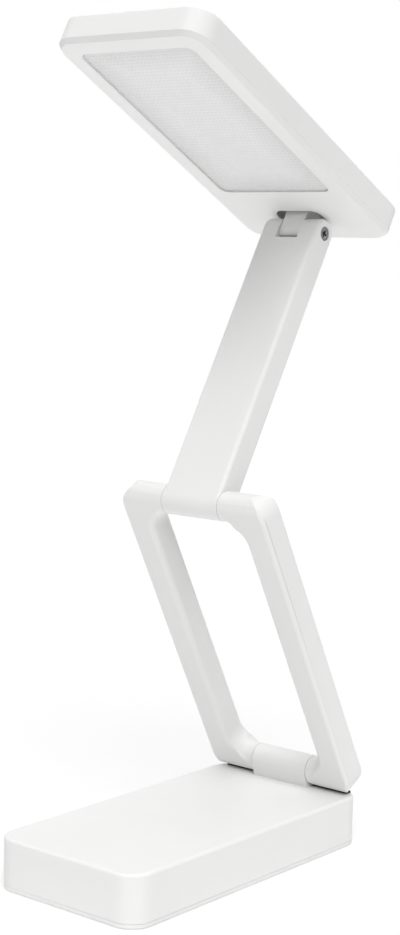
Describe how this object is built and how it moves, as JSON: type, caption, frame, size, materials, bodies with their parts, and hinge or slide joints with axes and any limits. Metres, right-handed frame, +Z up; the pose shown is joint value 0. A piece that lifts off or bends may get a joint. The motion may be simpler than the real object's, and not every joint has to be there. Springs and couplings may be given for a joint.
{
  "type": "folding table lamp",
  "caption": "Slim folding table lamp: slab base, open lower frame, flat upper arm and a flat light head with a frosted panel, joined by friction hinges.",
  "frame": {"origin": "on the table, under the middle of the base's footprint", "axes": "+Z up, +X along the hinge axes to the lamp's right as its free end faces the viewer, +Y to the back, where the hinge stands on the base"},
  "size_m": [0.084, 0.1851, 0.384],
  "materials": {
    "white_shell": "satin",
    "white_button": "satin",
    "grey_pad": "matte",
    "black_strip": "matte",
    "zinc_screw": "bright",
    "dark_screw": "blackened",
    "steel_ballast": "rolled",
    "battery_foil": "satin",
    "green_board": "satin",
    "socket_shell": "bright",
    "black_switch": "matte",
    "lead_cover": "satin",
    "bush": "satin",
    "shaft_steel": "ground",
    "washer": "matte",
    "frosted": "frosted",
    "white_reflector": "satin",
    "light_board": "satin",
    "light_chip": "gloss"
  },
  "bodies": {
    "base": {"base_housing": "white_shell", "base_plate": "white_shell", "rest_pad": "grey_pad", "knuckle_strips": "black_strip", "plate_screws": "zinc_screw", "ballast_plate": "steel_ballast", "battery_pack": "battery_foil", "charge_board": "green_board", "charge_socket": "socket_shell", "power_switch": "black_switch", "base_lead": "lead_cover", "lower_hinge_bushes": "bush"},
    "power_button": {"power_button": "white_button"},
    "lower_frame": {"left_leg_body": "white_shell", "right_leg_body": "white_shell", "left_leg_cover": "white_shell", "right_leg_cover": "white_shell", "lower_hinge_shaft": "shaft_steel", "upper_hinge_shaft": "shaft_steel", "leg_lead": "lead_cover"},
    "upper_arm": {"arm_shell": "white_shell", "arm_back_cover": "white_shell", "arm_cover_screws": "zinc_screw", "arm_lead": "lead_cover", "upper_hinge_bushes": "bush", "head_pivot_screw": "dark_screw", "head_pivot_nut": "dark_screw", "head_pivot_washers": "washer"},
    "head": {"head_shell": "white_shell", "head_bezel": "white_shell", "diffuser": "frosted", "reflector": "white_reflector", "light_board": "light_board", "light_chips": "light_chip", "head_bracket": "white_shell", "bracket_screws": "zinc_screw"}
  },
  "joints": [
    {"name": "base_hinge", "type": "hinge", "parent": "base", "child": "lower_frame", "pos_m": [0, 0.0773, 0.032], "axis": [1, 0, 0], "range_deg": [-27, 61]},
    {"name": "middle_hinge", "type": "hinge", "parent": "lower_frame", "child": "upper_arm", "pos_m": [0, 0.00416, 0.16956], "axis": [-1, 0, 0], "range_deg": [-12, 104]},
    {"name": "head_hinge", "type": "hinge", "parent": "upper_arm", "child": "head", "pos_m": [0, 0.0745, 0.29314], "axis": [1, 0, 0], "range_deg": [-90, 85]},
    {"name": "button_press", "type": "slide", "parent": "base", "child": "power_button", "axis": [0, -1, 0], "range_m": [0, 0.0008], "stiffness_N_per_m": 800}
  ]
}
